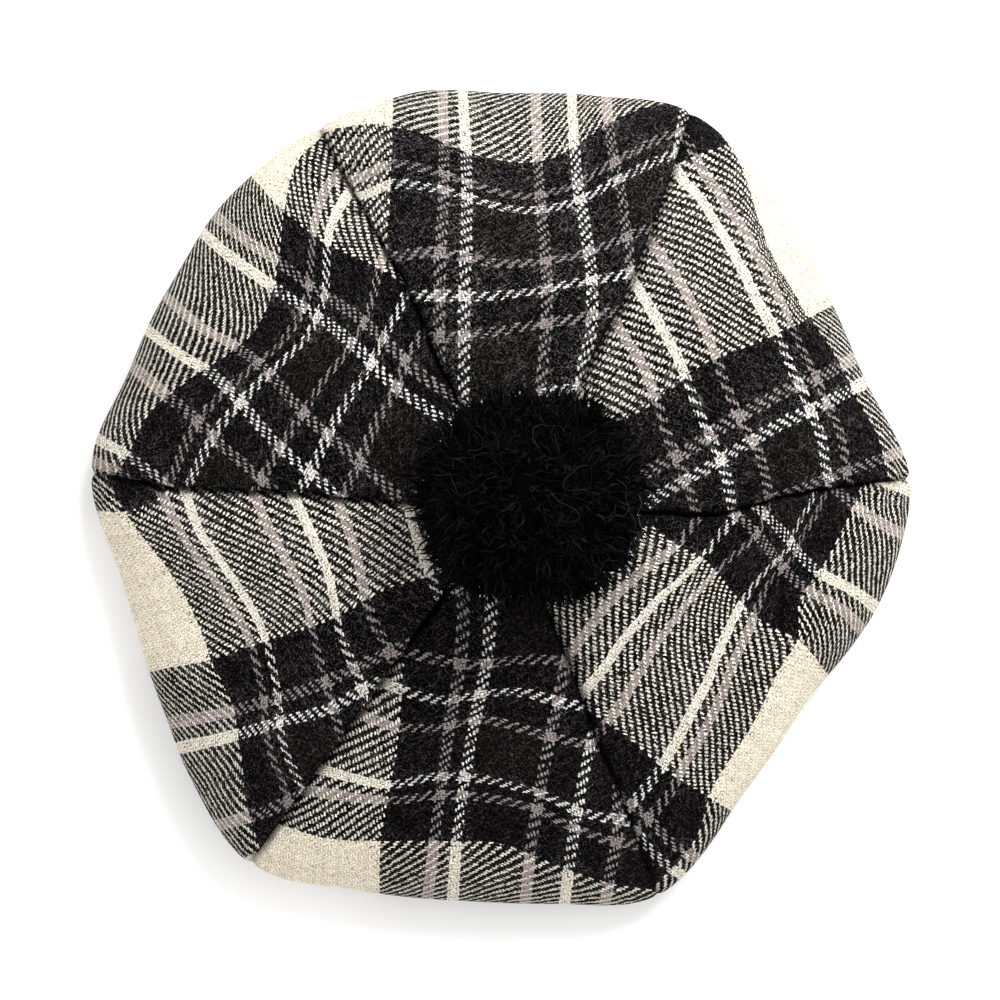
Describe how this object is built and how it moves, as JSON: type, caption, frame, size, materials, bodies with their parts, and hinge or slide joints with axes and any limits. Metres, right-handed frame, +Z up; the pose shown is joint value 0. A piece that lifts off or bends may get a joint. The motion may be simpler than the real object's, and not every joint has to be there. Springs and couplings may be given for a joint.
{
  "type": "tam o'shanter hat",
  "caption": "Soft flat crown of sewn tartan gores that spreads out round a headband, with a wool pompom on top.",
  "frame": {"origin": "under the middle of the crown's outline, on the plane that the headband stands on", "axes": "+Z up through the crown, +Y towards the middle of the first gore's side of the hat, +X to its right seen from above"},
  "size_m": [0.2802, 0.2794, 0.1222],
  "materials": {
    "tartan_cloth": "brushed 2/2 twill in a black, charcoal, lavender-grey, white and cream tartan",
    "pompom_yarn": "cut ends of black wool yarn"
  },
  "bodies": {
    "root": {"crown_gore_1": "tartan_cloth", "crown_gore_2": "tartan_cloth", "crown_gore_3": "tartan_cloth", "crown_gore_4": "tartan_cloth", "crown_gore_5": "tartan_cloth", "crown_gore_6": "tartan_cloth", "headband": "tartan_cloth", "pompom": "pompom_yarn"}
  },
  "joints": []
}
